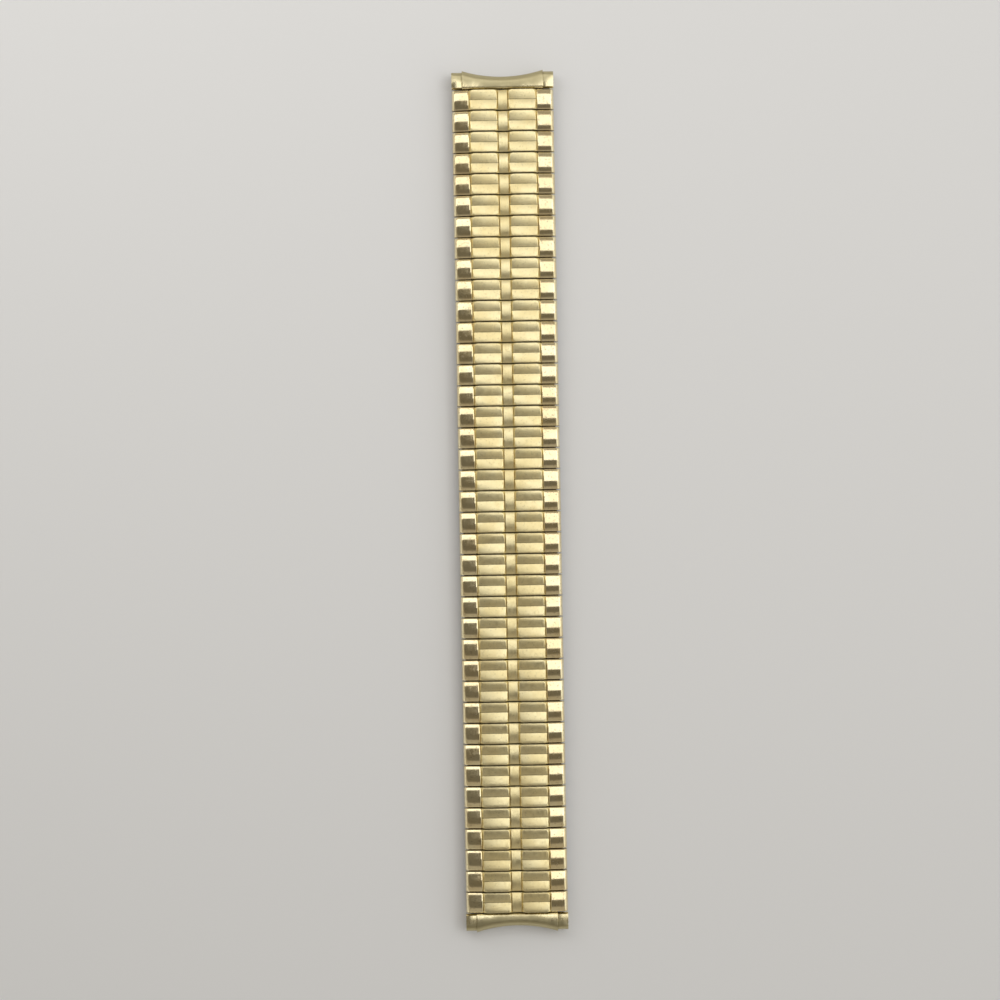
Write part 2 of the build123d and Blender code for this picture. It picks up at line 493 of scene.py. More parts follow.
# %% [markdown]
# ## The springs and the staples
#
# A bowed strip in every tube presses on the staples and pulls the band shut. It is a plain strip
# cut into a few lengths and lifted to a shallow arc. A staple is flat wire bent twice. Its
# section is drawn once and carried along: straight, a quarter turn by Spin, straight again,
# another quarter turn, and back. A hundred and fifty-six staples need few faces each.

# %% Bow a leaf spring
leaf_thickness = 0.10
leaf_width = 2.80
leaf_half = 8.02
leaf_rise = 0.20
leaf_cuts = 7


def open_all(piece):
    """Opens a piece for editing with everything selected."""
    only(piece)
    bpy.ops.object.mode_set(mode="EDIT")
    bpy.ops.mesh.select_all(action="SELECT")


def outwards(piece):
    """Merges doubled corners and turns every face outwards."""
    open_all(piece)
    bpy.ops.mesh.remove_doubles(threshold=exactly / 2)
    bpy.ops.mesh.normals_make_consistent(inside=False)
    bpy.ops.object.mode_set(mode="OBJECT")


def make_leaf(name, wall, inward, width):
    """A bowed strip that lies on a tube's wall in the middle and stands away at its ends."""
    bpy.ops.mesh.primitive_plane_add(size=1, location=(0, 0, wall))
    leaf = start(name, (2 * leaf_half, width, 1))
    pick(leaf, "EDGE", lies_across)
    bpy.ops.mesh.subdivide_edgering(number_cuts=leaf_cuts)
    for step in range(leaf_cuts + 2):
        x = leaf_half * (2 * step / (leaf_cuts + 1) - 1)
        rise = inward * leaf_rise * (x / leaf_half) ** 2
        shift(leaf, lambda at: near(at.x, x, about), (0, 0, rise))
    modify(leaf, "SOLIDIFY", thickness=leaf_thickness, offset=inward)
    outwards(leaf)
    return finish(leaf)


upper_leaf = make_leaf("upper_leaf", upper_tube_base + tube_height - sheet, -1, leaf_width)
lower_leaf = make_leaf("lower_leaf", sheet, 1, leaf_width)

# %% Bend a staple
wire_width = 0.30
wire_height = 0.28
leg_tip = 5.32
staple_outer = 8.66
lower_leg_base = 0.44
upper_leg_base = 1.68
lower_leg = lower_leg_base + wire_height / 2
upper_leg = upper_leg_base + wire_height / 2
bend_radius = 0.30
bend_steps = 3
bend_x = staple_outer - wire_height / 2 - bend_radius


def quarter_turn(z):
    """Bends the wire by a quarter turn round a line at this height."""
    bpy.ops.mesh.spin(steps=bend_steps, angle=math.pi / 2, center=(bend_x, 0, z), axis=(0, 1, 0))


upright = (0, math.pi / 2, 0)
bpy.ops.mesh.primitive_plane_add(size=1, location=(leg_tip, 0, lower_leg), rotation=upright)
staple_draft = start("staple", (wire_height, wire_width, 1))
bpy.ops.mesh.select_all(action="SELECT")
extrude(bend_x - leg_tip, 0, 0)
quarter_turn(lower_leg + bend_radius)
extrude(0, 0, upper_leg - lower_leg - 2 * bend_radius)
quarter_turn(upper_leg - bend_radius)
extrude(leg_tip - bend_x, 0, 0)
outwards(staple_draft)
print("staple", len(staple_draft.data.polygons), "faces")

# %% Staples for one link
staple_places = (-1.49, 1.49)


def spread(name, places):
    """Staples at each place along a link and at both sides of the band."""
    copies = []
    for y in places:
        only(staple_draft)
        bpy.ops.object.duplicate()
        bpy.context.object.location.y = y
        copies.append(bpy.context.object)
    for copy in copies:
        copy.select_set(True)
    if len(copies) > 1:
        bpy.ops.object.join()
    piece = bpy.context.object
    piece.name = piece.data.name = name
    bpy.ops.object.transform_apply(location=True)
    modify(piece, "MIRROR", use_axis=(True, False, False), use_mirror_merge=False)
    outwards(piece)
    return finish(piece)


four_staples = spread("staples", staple_places)

# %% [markdown]
# ## Laying out the rows
#
# Every row is the same, so each piece was made once at the middle of the band. Now each row gets
# its own copies, and each copy's place goes into its mesh. A copy rides on the body of its row,
# so it slides and tilts with it, and the row's plain solid is hidden.

# %% Copy the pieces along the band
row_count = 39
middle_row = (row_count + 1) // 2


def place(piece, name, y, body, turned=False):
    """A copy of a finished piece, shifted along the band, that rides on a body."""
    copy = piece.copy()
    copy.data = piece.data.copy()
    copy.name = copy.data.name = name
    bpy.context.scene.collection.objects.link(copy)
    half_turn = Matrix.Rotation(math.pi, 4, "Z") if turned else Matrix.Identity(4)
    copy.data.transform(half_turn @ Matrix.Translation((0, y * MM, 0)))
    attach(copy, body)
    return copy


def lower_body(number, outward):
    """The body that carries the lower link on the inner side of a row, and the link's name."""
    first, second = sorted((number, number + outward))
    label = f"{first:02d}_{second:02d}"
    own = f"lower_link_{label}"
    return (own if own in frame["bodies"] else f"link_{number:02d}"), label


for number in range(1, row_count + 1):
    steps = middle_row - number
    y = steps * row_pitch
    row = f"link_{number:02d}"
    shell = place(shell_draft, f"shell_{number:02d}", y, row)
    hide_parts(row)
    place(upper_tube, f"upper_tube_{number:02d}", y, row)
    place(upper_leaf, f"upper_spring_{number:02d}", y, row)
    if steps == 0:
        continue
    outward = 1 if steps > 0 else -1
    link_y = y - outward * row_pitch / 2
    carrier, label = lower_body(number, outward)
    tube = place(lower_tube, f"lower_tube_{label}", link_y, carrier)
    if carrier != row:
        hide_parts(carrier)
    place(lower_leaf, f"lower_spring_{label}", link_y, carrier)
    place(four_staples, f"staples_{label}", link_y, carrier)
for draft in (shell_draft, upper_tube, lower_tube, upper_leaf, lower_leaf, four_staples):
    bpy.data.objects.remove(draft)

# %% [markdown]
# ## The curved end shells
#
# Each end of the band is one sheet rolled over the spring bar, and its outer edge follows the
# round watch case. A quarter of a circle gives the roll, a straight run is drawn from each of
# its ends, and Spin carries the profile round the middle of the watch case. What lies past the
# piece's real edges is cut away, the inner edge is folded down, and Solidify gives the sheet
# its thickness.

# %% Draw a rolled profile
end_low, end_high = (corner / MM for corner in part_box("end_shell_top"))
end_half, end_crest = end_high.x, end_high.z
end_inner, end_bottom = end_low.y, end_low.z
end_round = 1.32
case_radius = 24.0
case_middle = end_high.y + math.sqrt(case_radius**2 - end_half**2)
hair = 0.003
spare = 1.6


def ring(name, y, z, radius, corners=40):
    """A circle round a line across the band, opened for editing."""
    bpy.ops.mesh.primitive_circle_add(
        vertices=corners, radius=radius, location=(0, y, z), rotation=upright
    )
    return start(name)


def drop_where(piece, test):
    """Deletes the corners that pass a test."""
    pick(piece, "VERT", lambda corner: test(corner.co))
    bpy.ops.mesh.delete(type="VERT")


def run_on(piece, test, y, z):
    """Draws the corners that pass a test out by a step."""
    pick(piece, "VERT", lambda corner: test(corner.co))
    extrude(0, y, z)


def quarter_roll(name, front, top, radius, back, bottom):
    """A profile in Y and Z: a flat top, a quarter turn over the bar, then a straight front."""
    roll_y, roll_z = front - radius, top - radius
    line = ring(name, roll_y, roll_z, radius)
    drop_where(line, lambda at: at.y < roll_y - about or at.z < roll_z - about)
    run_on(line, lambda at: near(at.y, roll_y, about), back - roll_y, 0)
    run_on(line, lambda at: near(at.z, roll_z, about), 0, bottom - roll_z)
    return line


end_front = case_middle - case_radius - hair
end_shell = quarter_roll("end_shell", end_front, end_crest, end_round, end_inner - spare, end_bottom)
tell(end_shell, "as a profile")

# %% Spin it round the watch case
spin_steps = 28
dome_places = (0.55, 0.80, 1.05, 1.30)
reach = math.asin((end_half + spare) / case_radius)
case_centre = (0, case_middle - hair, 0)

bpy.ops.mesh.select_all(action="SELECT")
bpy.ops.transform.rotate(value=-reach, orient_axis="Z", center_override=case_centre)
bpy.ops.mesh.spin(steps=spin_steps, angle=2 * reach, center=case_centre, axis=(0, 0, 1))
bpy.ops.mesh.select_all(action="SELECT")
bpy.ops.mesh.bisect(plane_co=(0, end_inner, 0), plane_no=(0, -1, 0), clear_outer=True)
for inwards in dome_places:
    cut(
        end_shell,
        lambda face: near(face.calc_center_median().z, end_crest),
        (0, end_inner + inwards, 0),
        (0, 1, 0),
    )
tell(end_shell, "spun")

# %% [markdown]
# The inner edge is folded down in a small round, so that no cut edge shows. The top falls
# gently towards it: each line of corners across it is one level, and drops as a whole.

# %% Fold the inner edge and dome the top
inner_fold = 0.45
fold_round = 0.9 * inner_fold
dome_drop = 0.20
dome_reach = 1.50
level_digits = 4
level_play = 0.0002


def on_inner_edge(edge):
    """True for the edges along the inner end."""
    return all(near(at.y, end_inner) for at in ends(edge))


pick(end_shell, "EDGE", on_inner_edge)
extrude(0, 0, -inner_fold)
pick(
    end_shell,
    "EDGE",
    lambda edge: on_inner_edge(edge) and all(near(at.z, end_crest) for at in ends(edge)),
)
bpy.ops.mesh.bevel(offset=fold_round, segments=5)
along = {round(corner.co.y, level_digits) for corner in bmesh.from_edit_mesh(end_shell.data).verts}
levels = sorted(level for level in along if level < end_inner + dome_reach)
for level in levels:
    drop = dome_drop * (1 - (level - end_inner) / dome_reach) ** 2
    shift(end_shell, lambda at: near(at.y, level, level_play), (0, 0, -drop))
tell(end_shell, f"domed on {len(levels)} levels")

# %% Give the sheet its thickness
end_sheet = 0.18
top_layer = 0.1
rolled_bend = 40
sharp_bend = math.radians(50)


def thicken(piece, thickness, is_top):
    """Turns a sheet's outside outwards and gives it its thickness inwards."""
    outwards(piece)
    if sum(face.normal.z * face.area for face in piece.data.polygons if is_top(face.center)) < 0:
        piece.data.flip_normals()
    modify(piece, "SOLIDIFY", thickness=thickness, offset=-1)


def soften(piece, thickness):
    """Takes the sharpness off all edges of a sheet, by a fifth of its thickness."""
    width = thickness / 5
    modify(piece, "BEVEL", width=width, segments=2, limit_method="ANGLE", angle_limit=sharp_bend)


thicken(end_shell, end_sheet, lambda at: at.z > end_crest - top_layer)
for side in (-1, 1):
    open_all(end_shell)
    bpy.ops.mesh.bisect(
        plane_co=(side * end_half, 0, 0), plane_no=(side, 0, 0), clear_outer=True, use_fill=True
    )
soften(end_shell, end_sheet)
finish(end_shell, rolled_bend)

# %% [markdown]
# ## The side sleeves
#
# At both sides of an end shell a smaller rolled sheet slides in and out, so that the band fits
# watches of several widths. The tube for the spring bar is rolled in one with it. The profile
# is the same quarter roll on a smaller radius, drawn across instead of spun, and the part
# that runs on under the shell is drawn from the flat part's edge only.

# %% Roll a side sleeve
side_low, side_high = (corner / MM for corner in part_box("lug_sleeve_top_right"))
bar_y = case_middle - case_radius - end_round
bar_z = end_crest - end_round
side_sheet = 0.15
side_top = 2.62
side_round = side_top - bar_z
side_back = 73.09
side_overlap = 0.10
side_start = end_half - side_overlap
slide_start = 3.60
roll_margin = 0.7
long_edge = 0.3


def draw_across(x_low, x_high):
    """Moves the open profile to one side and draws it across the band as a sheet."""
    bpy.ops.mesh.select_all(action="SELECT")
    bpy.ops.transform.translate(value=(x_low, 0, 0))
    extrude(x_high - x_low, 0, 0)


def on_flat_side(edge):
    """True for the inner side edge of the flat part."""
    a, b = ends(edge)
    return abs(a.y - b.y) > long_edge and all(
        near(at.x, side_start) and near(at.z, side_top) and at.y < bar_y + roll_margin for at in (a, b)
    )


right_sleeve = quarter_roll("side_sleeve", side_high.y, side_top, side_round, side_back, end_bottom)
draw_across(side_start, half_width)
pick(right_sleeve, "EDGE", on_flat_side)
extrude(slide_start - side_start, 0, 0)
thicken(right_sleeve, side_sheet, lambda at: at.z > side_top - about)
soften(right_sleeve, side_sheet)
print("side sleeve", len(right_sleeve.data.polygons), "faces")

# %% Add the spring bar's tube and mirror it
bar_tube_radius = 0.92
bar_tube_sheet = 0.12


def add_to(piece, other):
    """Makes another mesh a part of this one."""
    only(piece)
    other.select_set(True)
    bpy.ops.object.join()


bar_tube = ring("bar_tube", bar_y, bar_z, bar_tube_radius)
draw_across(side_low.x, half_width)
thicken(bar_tube, bar_tube_sheet, lambda at: at.z > bar_z)
add_to(right_sleeve, bar_tube)
finish(right_sleeve, rolled_bend)
only(right_sleeve)
bpy.ops.object.duplicate()
left_sleeve = bpy.context.object
left_sleeve.scale.x = -1
bpy.ops.object.transform_apply(scale=True)
left_sleeve.data.flip_normals()

# %% [markdown]
# ## The end anchors
#
# Under each end shell the last lower link is shorter, with one pair of staples, and a tongue of
# its sheet is rolled round the spring-bar tubes as an open eye. It is seen only from below and
# when the end is tilted. The eye is a circle with its opening deleted, run on to the link.

# %% The last link
anchor_length = 1.70
anchor_start = (middle_row - 1) * row_pitch + (row_pitch - row_length) / 2
leaf_spare = 0.30
wire_gap = 0.03
to_the_anchor = Matrix.Translation((0, (anchor_start + anchor_length / 2) * MM, 0))

anchor = make_tube("anchor", anchor_length, 0)
anchor.data.transform(to_the_anchor)
anchor_leaf = make_leaf("anchor_leaf", sheet, 1, anchor_length - 2 * sheet - leaf_spare)
anchor_leaf.data.transform(to_the_anchor)
anchor_staples = spread("anchor_staples", (anchor_start + sheet + wire_gap + wire_width / 2,))

# %% Roll the eye
eye_radius = 1.09
eye_corners = 36
eye_half_width = 3.30
eye_sheet = 0.12
eye_crown = 0.5
eye_open_from = math.radians(150)
eye_open_to = math.radians(270)


def in_the_opening(at):
    """True where the eye is open."""
    turn = math.atan2(at.z - bar_z, at.y - bar_y) % math.tau
    return eye_open_from + about < turn < eye_open_to - about


eye = ring("eye", bar_y, bar_z, eye_radius, eye_corners)
drop_where(eye, in_the_opening)
tongue_end = anchor_start + anchor_length - eye_sheet
run_on(eye, lambda at: near(at.y, bar_y, about) and at.z < bar_z, tongue_end - bar_y, 0)
draw_across(-eye_half_width, eye_half_width)
thicken(eye, eye_sheet, lambda at: at.z > bar_z + eye_crown)
finish(eye, rolled_bend)
add_to(anchor, eye)

# %% Place both ends
for end, turned in (("top", False), ("bottom", True)):
    shell = place(end_shell, f"curved_end_{end}", 0, f"end_shell_{end}", turned)
    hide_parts(f"end_shell_{end}")
    anchor_piece = place(anchor, f"anchor_{end}", 0, f"end_anchor_{end}", turned)
    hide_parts(f"end_anchor_{end}")
    place(anchor_leaf, f"anchor_spring_{end}", 0, f"end_anchor_{end}", turned)
    place(anchor_staples, f"anchor_staples_{end}", 0, f"end_anchor_{end}", turned)
    for side, draft in (("right", right_sleeve), ("left", left_sleeve)):
        seen_side = side if not turned else {"right": "left", "left": "right"}[side]
        body = f"lug_sleeve_{end}_{seen_side}"
        sleeve = place(draft, f"side_sleeve_{end}_{seen_side}", 0, body, turned)
        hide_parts(body)
for draft in (end_shell, anchor, anchor_leaf, anchor_staples, right_sleeve, left_sleeve, staple_draft):
    bpy.data.objects.remove(draft)

# %% [markdown]
# ## Metal
#
# The gold is much the same everywhere, and mostly its surface differs. A worn band has four
# things that an even colour lacks: the brush lines along it, patches where the plate is thinner
# and warmer, small pits, and dirt where a cloth doesn't reach. Painted shade joins the dirt in the
# creases and in the gaps between the rows, and darkens the outer rolls of the ends. Each of them
# is a node group, so every metal can take it at its own scale and strength. All of them are laid
# out in millimetres on the piece itself, so they stay with it when it moves.

# %% Brush lines
squeezed = (1, 0.06, 1)


def new_group(name, inputs, output):
    """A shader node group with number sockets, and its input and output nodes."""
    group = bpy.data.node_groups.new(name, "ShaderNodeTree")
    sockets = group.interface
    for label, value in inputs.items():
        socket = sockets.new_socket(name=label, in_out="INPUT", socket_type="NodeSocketFloat")
        socket.default_value = value
    sockets.new_socket(name=output, in_out="OUTPUT", socket_type="NodeSocketFloat")
    return group, group.nodes.new("NodeGroupInput"), group.nodes.new("NodeGroupOutput")


def feed(tree, source, target):
    """Links an output to an input, or sets the input if the source is a plain number."""
    if isinstance(source, (int, float)):
        target.default_value = source
    else:
        tree.links.new(source, target)


def in_millimetres(tree, stretch=(1, 1, 1)):
    """Object coordinates in millimetres, squeezed where an axis' stretch is below 1."""
    coordinates = tree.nodes.new("ShaderNodeTexCoord")
    scale = tree.nodes.new("ShaderNodeVectorMath")
    scale.operation = "MULTIPLY"
    scale.inputs[1].default_value = [share / MM for share in stretch]
    tree.links.new(coordinates.outputs["Object"], scale.inputs[0])
    return scale.outputs[0]


def noise(tree, where, scale, detail=2.0):
    """A noise texture's value."""
    made = tree.nodes.new("ShaderNodeTexNoise")
    made.inputs["Detail"].default_value = detail
    tree.links.new(where, made.inputs["Vector"])
    feed(tree, scale, made.inputs["Scale"])
    return made.outputs["Fac"]


brushed_grain, entry, leave = new_group("brushed_grain", {"Lines per mm": 6.0}, "Grain")
lines = noise(brushed_grain, in_millimetres(brushed_grain, squeezed), entry.outputs[0], detail=3.0)
feed(brushed_grain, lines, leave.inputs[0])
print("brush lines", len(brushed_grain.nodes), "nodes")

# %% Patches and pits
def calc(tree, operation, *terms):
    """A Math node's result."""
    made = tree.nodes.new("ShaderNodeMath")
    made.operation = operation
    for socket, term in zip(made.inputs, terms):
        feed(tree, term, socket)
    return made.outputs[0]


def spread_out(tree, value, low, high, to_low=0.0, to_high=1.0):
    """Maps a value smoothly from one range to another."""
    made = tree.nodes.new("ShaderNodeMapRange")
    made.interpolation_type = "SMOOTHSTEP"
    ranges = {"Value": value, "From Min": low, "From Max": high, "To Min": to_low, "To Max": to_high}
    for label, term in ranges.items():
        feed(tree, term, made.inputs[label])
    return made.outputs[0]


def split(tree, vector):
    """The X, Y and Z of a vector."""
    made = tree.nodes.new("ShaderNodeSeparateXYZ")
    tree.links.new(vector, made.inputs[0])
    return made.outputs


def spots_group(name, per_mm, scale, output, detail, low, high):
    """Soft spots where a noise is high."""
    group, entry, leave = new_group(name, {per_mm: scale, "Amount": 1.0}, output)
    value = noise(group, in_millimetres(group), entry.outputs[0], detail)
    spots = spread_out(group, value, low, high)
    feed(group, calc(group, "MULTIPLY", spots, entry.outputs[1]), leave.inputs[0])
    return group


thin_patches = spots_group(
    "thin_plate_patches", "Patches per mm", 0.2, "Patches", detail=3.0, low=0.38, high=0.64
)
fine_pits = spots_group("fine_pits", "Pits per mm", 2.5, "Pits", detail=4.0, low=0.54, high=0.72)
print("patches and pits", len(thin_patches.nodes), len(fine_pits.nodes), "nodes")

# %% [markdown]
# The painted shade and dirt on a row follow the map laid out on the shell. They sit in the V
# groove, a hair towards the top end, in the seams at the feet of the bricks, and along the gaps
# to the next rows. There the colour paints the shade that falls in these hollows, together with
# dirt where a cloth doesn't reach.

# %% Painted shade and dirt in a row
usual_noise = (0.3, 0.7)
groove_at = 0.035
groove_reach = 0.075
gap_reach = (0.915, 0.975)
seam_reach = 0.012
blotches_per_mm = 1.3
blotchy = (0.65, 1.15)


def row_shade_and_dirt_group():
    """Painted shade and dirt in a shell's groove, seams and gaps."""
    group, entry, leave = new_group("row_dirt", {"Groove": 0.5, "Seams": 0.6, "Gaps": 0.9}, "Dirt")
    on_row = group.nodes.new("ShaderNodeUVMap")
    on_row.uv_map = "row_place"
    at = split(group, on_row.outputs[0])
    across = calc(group, "ABSOLUTE", at["X"])
    along = calc(group, "ABSOLUTE", at["Y"])
    from_groove = calc(group, "ABSOLUTE", calc(group, "SUBTRACT", at["Y"], groove_at))
    groove = spread_out(group, from_groove, 0.0, groove_reach, 1.0, 0.0)
    past_strip = calc(group, "GREATER_THAN", across, strip_foot / half_width)
    before_cap = calc(group, "LESS_THAN", across, cap_foot / half_width)
    on_brick = calc(group, "MULTIPLY", past_strip, before_cap)
    groove = calc(group, "MULTIPLY", calc(group, "MULTIPLY", groove, on_brick), entry.outputs["Groove"])
    gaps = calc(group, "MULTIPLY", spread_out(group, along, *gap_reach), entry.outputs["Gaps"])
    seams = 0.0
    for foot in (strip_foot, cap_foot):
        off = calc(group, "ABSOLUTE", calc(group, "SUBTRACT", across, foot / half_width))
        seams = calc(group, "MAXIMUM", spread_out(group, off, 0.0, seam_reach, 1.0, 0.0), seams)
    seams = calc(group, "MULTIPLY", seams, entry.outputs["Seams"])
    dirt = calc(group, "MAXIMUM", calc(group, "MAXIMUM", groove, gaps), seams)
    blotches = noise(group, in_millimetres(group), blotches_per_mm)
    uneven = spread_out(group, blotches, *usual_noise, *blotchy)
    clamped = calc(group, "MINIMUM", calc(group, "MULTIPLY", dirt, uneven), 1.0)
    feed(group, clamped, leave.inputs[0])
    return group


row_dirt = row_shade_and_dirt_group()
print("row shade and dirt", len(row_dirt.nodes), "nodes")

# %% [markdown]
# The steel underneath is painted darker on top, under the gaps between the rows: painted shade
# where the rows above shade it, together with grime that falls through the gaps. So this darkening
# lies in a stripe halfway between two rows, and only above a height. From below the tubes stay
# clean, since they rub on skin.

# %% Painted shade and dirt by height
height_waves_per_mm = 0.8
height_waves = (-0.08, 0.08)


def under_gap_shade_and_dirt_group():
    """Painted shade and dirt between two heights, in a stripe halfway between the rows."""
    group, entry, leave = new_group(
        "height_dirt", {"Full at mm": 1.0, "None at mm": 0.8, "Stripe mm": 0.5, "Amount": 1.0}, "Dirt"
    )
    full_at, none_at, stripe_half, amount = entry.outputs[:4]
    where = in_millimetres(group)
    at = split(group, where)
    wobble = spread_out(group, noise(group, where, height_waves_per_mm), *usual_noise, *height_waves)
    height = calc(group, "ADD", at["Z"], wobble)
    above = calc(group, "SUBTRACT", height, none_at)
    share = calc(group, "DIVIDE", above, calc(group, "SUBTRACT", full_at, none_at))
    clamped = calc(group, "MINIMUM", calc(group, "MAXIMUM", share, 0.0), 1.0)
    row = calc(group, "FLOORED_MODULO", calc(group, "DIVIDE", at["Y"], row_pitch), 1.0)
    off_gap = calc(group, "ABSOLUTE", calc(group, "SUBTRACT", row, 0.5))
    stripe = spread_out(group, calc(group, "MULTIPLY", off_gap, row_pitch), 0.0, stripe_half, 1.0, 0.0)
    dirt = calc(group, "MULTIPLY", calc(group, "MULTIPLY", clamped, stripe), amount)
    feed(group, dirt, leave.inputs[0])
    return group


height_dirt = under_gap_shade_and_dirt_group()
print("under-gap shade and dirt", len(height_dirt.nodes), "nodes")

# %% [markdown]
# An end shell is painted darker on its outer roll, beside the watch case: painted shade where the
# roll turns away from the light. It follows the case, so it is found from the distance to the
# middle of the case, off each end of the band.

# %% Painted shade beside the watch case
case_waves_per_mm = 0.35
case_waves = (-0.3, 0.3)


def roll_shade_group():
    """The painted shade that follows the watch case on an end shell."""
    group, entry, leave = new_group(
        "case_rub", {"Full at mm": 0.9, "None at mm": 2.4, "Amount": 0.8}, "Dirt"
    )
    full_at, none_at, amount = entry.outputs[:3]
    where = in_millimetres(group)
    at = split(group, where)
    outward = calc(group, "SUBTRACT", case_middle, calc(group, "ABSOLUTE", at["Y"]))
    across = calc(group, "MULTIPLY", at["X"], at["X"])
    squares = calc(group, "ADD", across, calc(group, "MULTIPLY", outward, outward))
    from_case = calc(group, "SUBTRACT", calc(group, "SQRT", squares), case_radius)
    wobble = spread_out(group, noise(group, where, case_waves_per_mm), *usual_noise, *case_waves)
    rub = spread_out(group, calc(group, "ADD", from_case, wobble), full_at, none_at, 1.0, 0.0)
    feed(group, calc(group, "MULTIPLY", rub, amount), leave.inputs[0])
    return group


case_rub = roll_shade_group()
print("roll shade", len(case_rub.nodes), "nodes")

# %% [markdown]
# ## One recipe for every metal
#
# All metals here are put together in the same way. Clean plate turns to its thin colour in
# patches, and to its darkened colour in painted shade, dirt and pits, which also make it duller.
# The brush lines change the roughness and press a very fine grain into the surface, finer on
# polished metal.

# %% A worn metal with painted shade
patches_per_mm = 0.22
patch_amount = 0.8
pits_per_mm = 2.6
grain_spread = (0.75, 1.3)
duller_when_thin = 0.05
duller_when_darkened = 0.22
bump_strength = 0.4


def use(tree, group, **values):
    """Places a group in a material with its own values, and returns its result."""
    made = tree.nodes.new("ShaderNodeGroup")
    made.node_tree = group
    for label, value in values.items():
        made.inputs[label.replace("_", " ")].default_value = value
    return made.outputs[0]


def blend(tree, share, first, second):
    """Mixes two colours by a mask."""
    made = tree.nodes.new("ShaderNodeMix")
    made.data_type = "RGBA"
    tree.links.new(share, made.inputs["Factor"])
    for socket, colour in ((made.inputs["A"], first), (made.inputs["B"], second)):
        if isinstance(colour, tuple):
            socket.default_value = (*colour, 1)
        else:
            tree.links.new(colour, socket)
    return made.outputs["Result"]


def metal(name, clean, thin, darkened, roughness, grain_mm, lines_per_mm, pits, darkening_group, dirt):
    """A worn metal with painted shade, put together as described above."""
    material = bpy.data.materials.new(name)
    material.use_nodes = True
    tree = material.node_tree
    shader = tree.nodes["Principled BSDF"]
    shader.inputs["Metallic"].default_value = 1
    grain = use(tree, brushed_grain, Lines_per_mm=lines_per_mm)
    patches = use(tree, thin_patches, Patches_per_mm=patches_per_mm, Amount=patch_amount)
    marks = use(tree, fine_pits, Pits_per_mm=pits_per_mm, Amount=pits)
    darkening_and_pits = calc(tree, "MAXIMUM", use(tree, darkening_group, **dirt), marks)
    # The darkened colour is painted shade and dirt from the group, and the pits.
    colour = blend(tree, darkening_and_pits, blend(tree, patches, clean, thin), darkened)
    tree.links.new(colour, shader.inputs["Base Color"])
    low, high = (share * roughness for share in grain_spread)
    dull = spread_out(tree, grain, *usual_noise, low, high)
    dull = calc(tree, "ADD", dull, calc(tree, "MULTIPLY", patches, duller_when_thin))
    dull = calc(tree, "ADD", dull, calc(tree, "MULTIPLY", darkening_and_pits, duller_when_darkened))
    tree.links.new(dull, shader.inputs["Roughness"])
    bump = tree.nodes.new("ShaderNodeBump")
    bump.inputs["Strength"].default_value = bump_strength
    bump.inputs["Distance"].default_value = grain_mm * MM
    tree.links.new(grain, bump.inputs["Height"])
    tree.links.new(bump.outputs[0], shader.inputs["Normal"])
    return material


print("the metals share", len(bpy.data.node_groups), "groups")

# %% The gold finishes
# The shells' darkened colours are painted shade and dirt in the grooves, seams and gaps.
polished = metal(
    "polished_gold_plate",
    clean=(0.93, 0.82, 0.53), thin=(0.86, 0.71, 0.41), darkened=(0.38, 0.31, 0.19),
    roughness=0.12, grain_mm=0.002, lines_per_mm=5.5, pits=0.5,
    darkening_group=row_dirt, dirt={"Groove": 0.0, "Seams": 0.3, "Gaps": 0.75},
)
satin = metal(
    "satin_gold_plate",
    clean=(0.90, 0.79, 0.465), thin=(0.85, 0.715, 0.375), darkened=(0.38, 0.32, 0.18),
    roughness=0.37, grain_mm=0.006, lines_per_mm=6.5, pits=0.25,
    darkening_group=row_dirt, dirt={"Groove": 0.85, "Seams": 0.3, "Gaps": 0.75},
)
# The rolled plate's darkened colour is painted shade on the outer roll by the watch case.
hood = metal(
    "rolled_gold_plate",
    clean=(0.92, 0.82, 0.52), thin=(0.85, 0.73, 0.42), darkened=(0.46, 0.405, 0.235),
    roughness=0.20, grain_mm=0.0015, lines_per_mm=3.0, pits=0.2,
    darkening_group=case_rub, dirt={"Full_at_mm": 1.5, "None_at_mm": 2.6, "Amount": 0.9},
)
print("gold", polished.name, satin.name, hood.name)

# %% The steel finishes
# The steels' darkened colours are painted shade with grime on top, under the gaps between the rows.
steel = metal(
    "satin_steel",
    clean=(0.62, 0.61, 0.59), thin=(0.55, 0.54, 0.51), darkened=(0.15, 0.115, 0.06),
    roughness=0.28, grain_mm=0.004, lines_per_mm=6.0, pits=0.3, darkening_group=height_dirt,
    dirt={"Full_at_mm": 1.05, "None_at_mm": 0.75, "Stripe_mm": 0.55, "Amount": 0.95},
)
wire = metal(
    "staple_steel",
    clean=(0.58, 0.57, 0.55), thin=(0.50, 0.49, 0.46), darkened=(0.16, 0.14, 0.11),
    roughness=0.24, grain_mm=0.003, lines_per_mm=5.0, pits=0.2, darkening_group=height_dirt,
    dirt={"Full_at_mm": 1.9, "None_at_mm": 0.9, "Stripe_mm": 2.2, "Amount": 0.5},
)
print("steel", steel.name, wire.name)

# %% Give each piece its finish
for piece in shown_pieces():
    kind = piece.name.split("_")[0]
    if kind == "shell":
        finishes = (polished, satin, satin)
    elif kind in ("curved", "side"):
        finishes = (hood,)
    elif "staples" in piece.name or "spring" in piece.name:
        finishes = (wire,)
    else:
        finishes = (steel,)
    for skin in finishes:
        piece.data.materials.append(skin)
print("materials", len(bpy.data.materials))

# %% [markdown]
# ## Floor, lights and camera
#
# The band lies on a plain pale floor that takes its shadow. Far from the band the floor fades to
# one even colour, for the camera only, and the room behind it has the same colour, so a low view
# has only a faint horizon. The light on the band doesn't change with that.

# %% Floor
floor_size = 8
floor_colour = (0.80, 0.80, 0.80)
floor_roughness = 0.9
far_colour = (0.58, 0.58, 0.57)
fade_reach = (0.25, 0.95)

